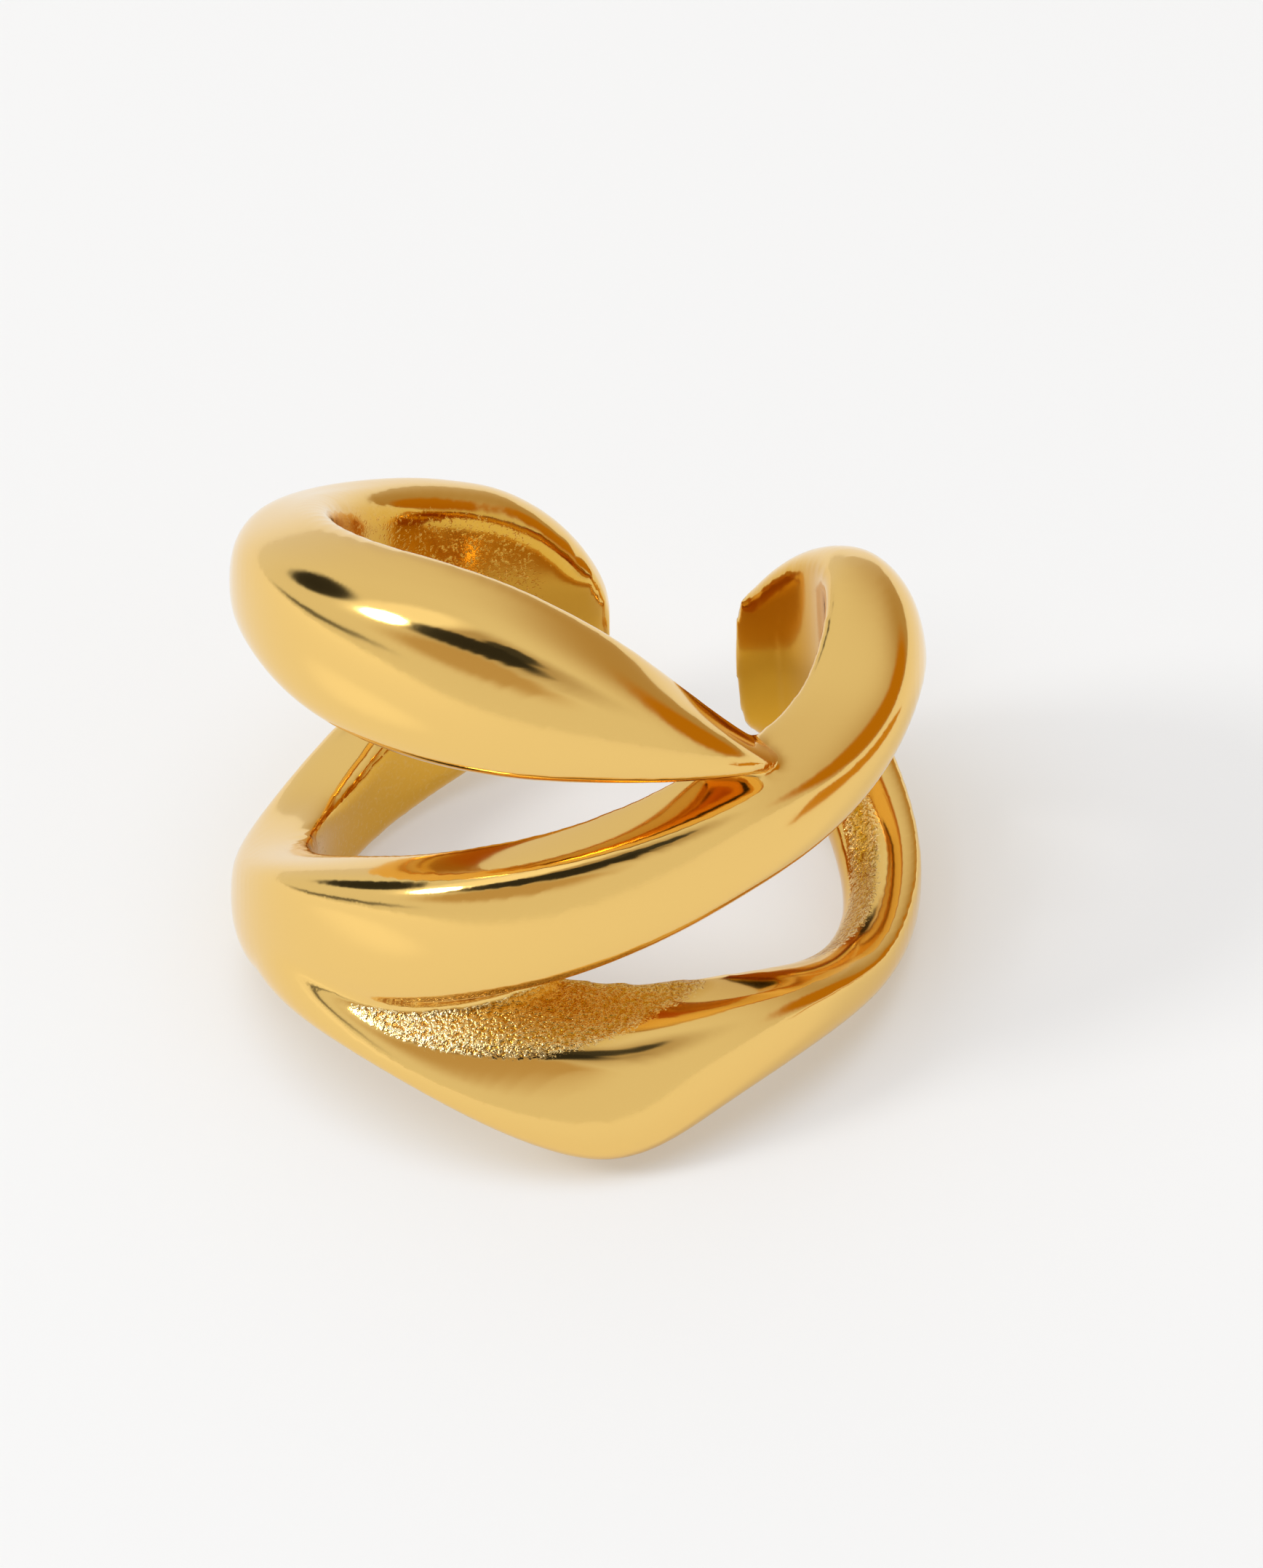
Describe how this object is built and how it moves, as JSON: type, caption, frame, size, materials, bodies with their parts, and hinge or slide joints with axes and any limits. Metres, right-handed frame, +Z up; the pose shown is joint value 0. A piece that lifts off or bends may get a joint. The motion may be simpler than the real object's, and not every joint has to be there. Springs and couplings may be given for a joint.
{
  "type": "ear cuff",
  "caption": "Wide open ear cuff, one polished gold-coloured casting whose band parts into crossing, melted-looking strands with windows between them.",
  "frame": {"origin": "on the table, under the middle of the cuff's bounding box as it lies", "axes": "+Z up from the table the cuff lies on, -Y towards the front where the strands cross, +X towards the end where the middle strand sweeps up, seen from the front"},
  "size_m": [0.0134, 0.0138, 0.0107],
  "materials": {
    "gold": "polished"
  },
  "bodies": {
    "root": {"cuff_casting": "gold"}
  },
  "joints": []
}
